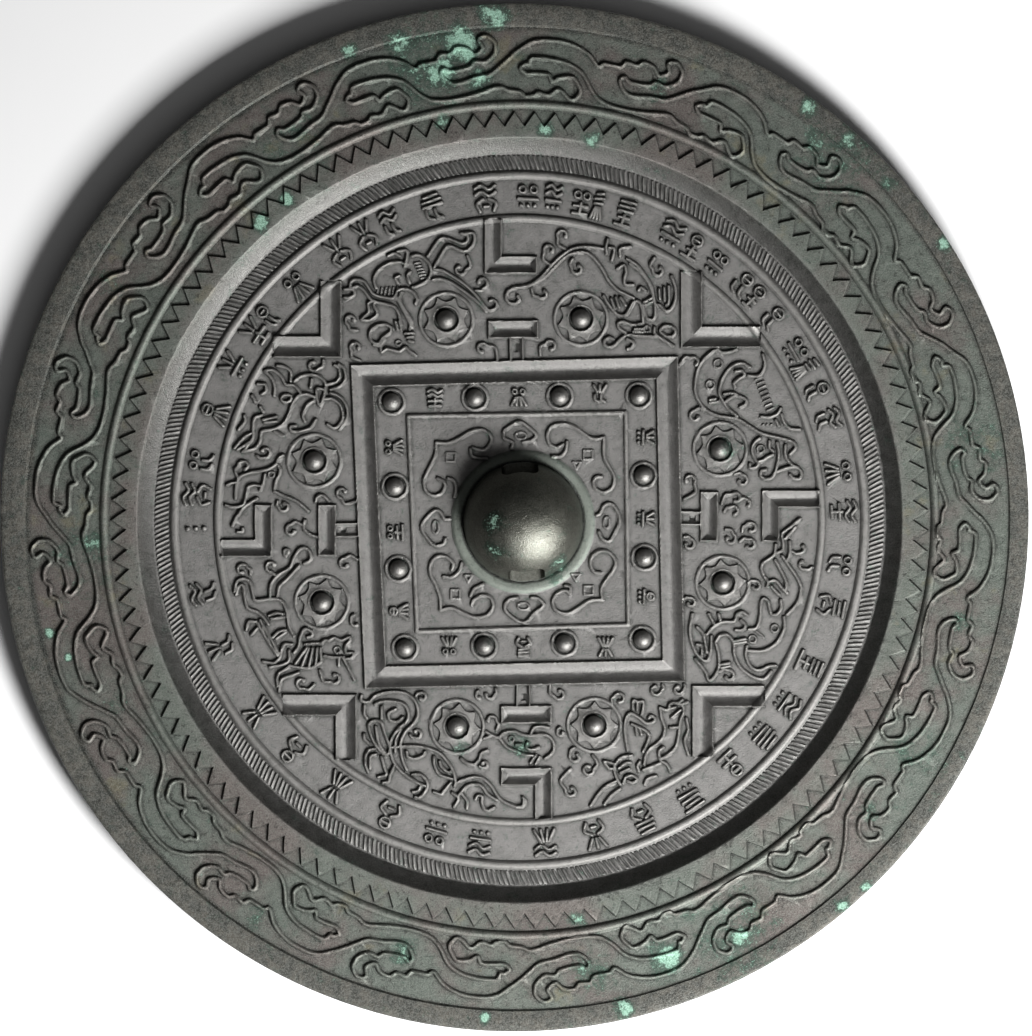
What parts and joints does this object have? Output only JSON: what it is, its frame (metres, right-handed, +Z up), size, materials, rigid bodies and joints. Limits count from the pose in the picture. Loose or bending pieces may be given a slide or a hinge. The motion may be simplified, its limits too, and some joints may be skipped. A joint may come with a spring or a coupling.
{
  "type": "ancient bronze mirror",
  "caption": "Round cast bronze mirror with a domed pierced knob, a square frame, beasts and birds between geometric marks, and a thick cloud scroll rim.",
  "frame": {"origin": "bottom centre of the round outline, where the mirror rests on the flat middle of its reflecting face", "axes": "+Z up out of the decorated back, +Y towards the top of the design in the picture, +X to its right"},
  "size_m": [0.2, 0.2, 0.0136],
  "materials": {
    "bronze": "dark high-tin bronze with a thin grey-brown patina and spots of verdigris"
  },
  "bodies": {
    "root": {"bronze_mirror": "bronze"}
  },
  "joints": []
}
